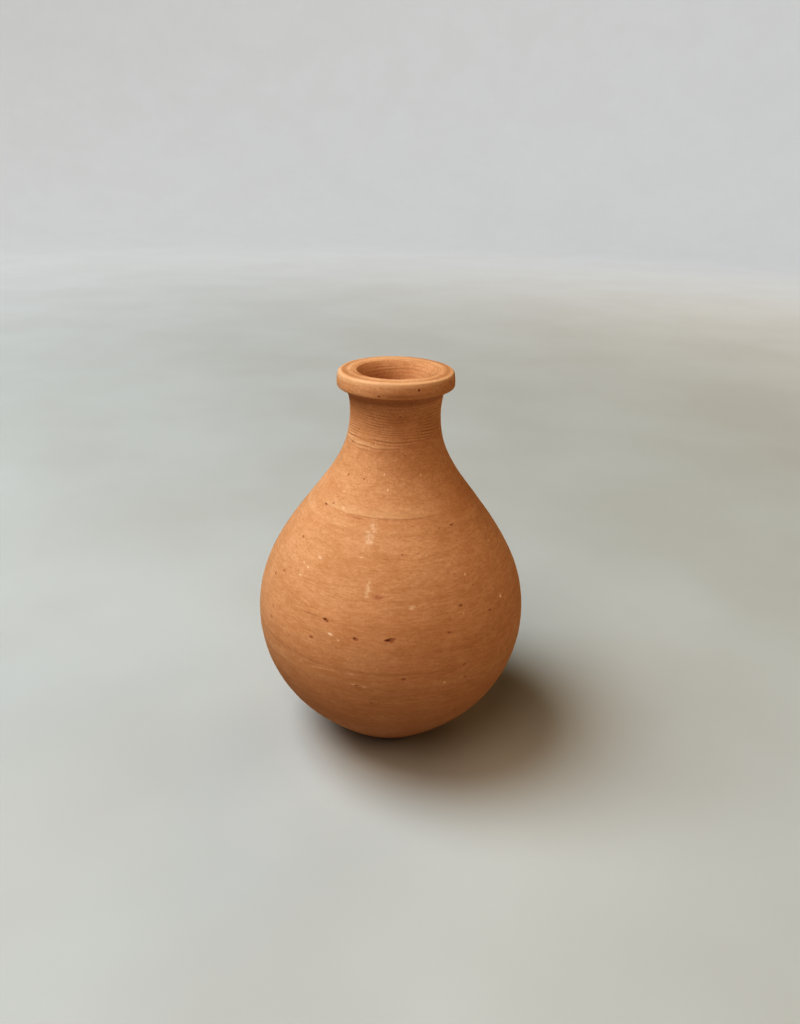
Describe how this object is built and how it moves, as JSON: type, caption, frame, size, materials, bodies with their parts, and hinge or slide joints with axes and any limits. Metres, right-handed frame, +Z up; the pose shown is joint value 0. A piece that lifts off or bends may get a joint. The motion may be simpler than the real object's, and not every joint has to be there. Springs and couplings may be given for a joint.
{
  "type": "bud vase",
  "caption": "Hand-thrown unglazed earthenware bud vase with a round belly, sloping shoulder, short waisted neck and rolled lip; hollow, open at the mouth, flat foot.",
  "frame": {"origin": "centre of the flat foot, on the surface that the vase stands on", "axes": "+Z up along the turning axis towards the mouth; X and Y are free, since the vase is a body of revolution"},
  "size_m": [0.083, 0.083, 0.12],
  "materials": {
    "earthenware": "matte, unglazed, orange-brown fired clay with fine turning lines"
  },
  "bodies": {
    "root": {"vase_body": "earthenware"}
  },
  "joints": []
}
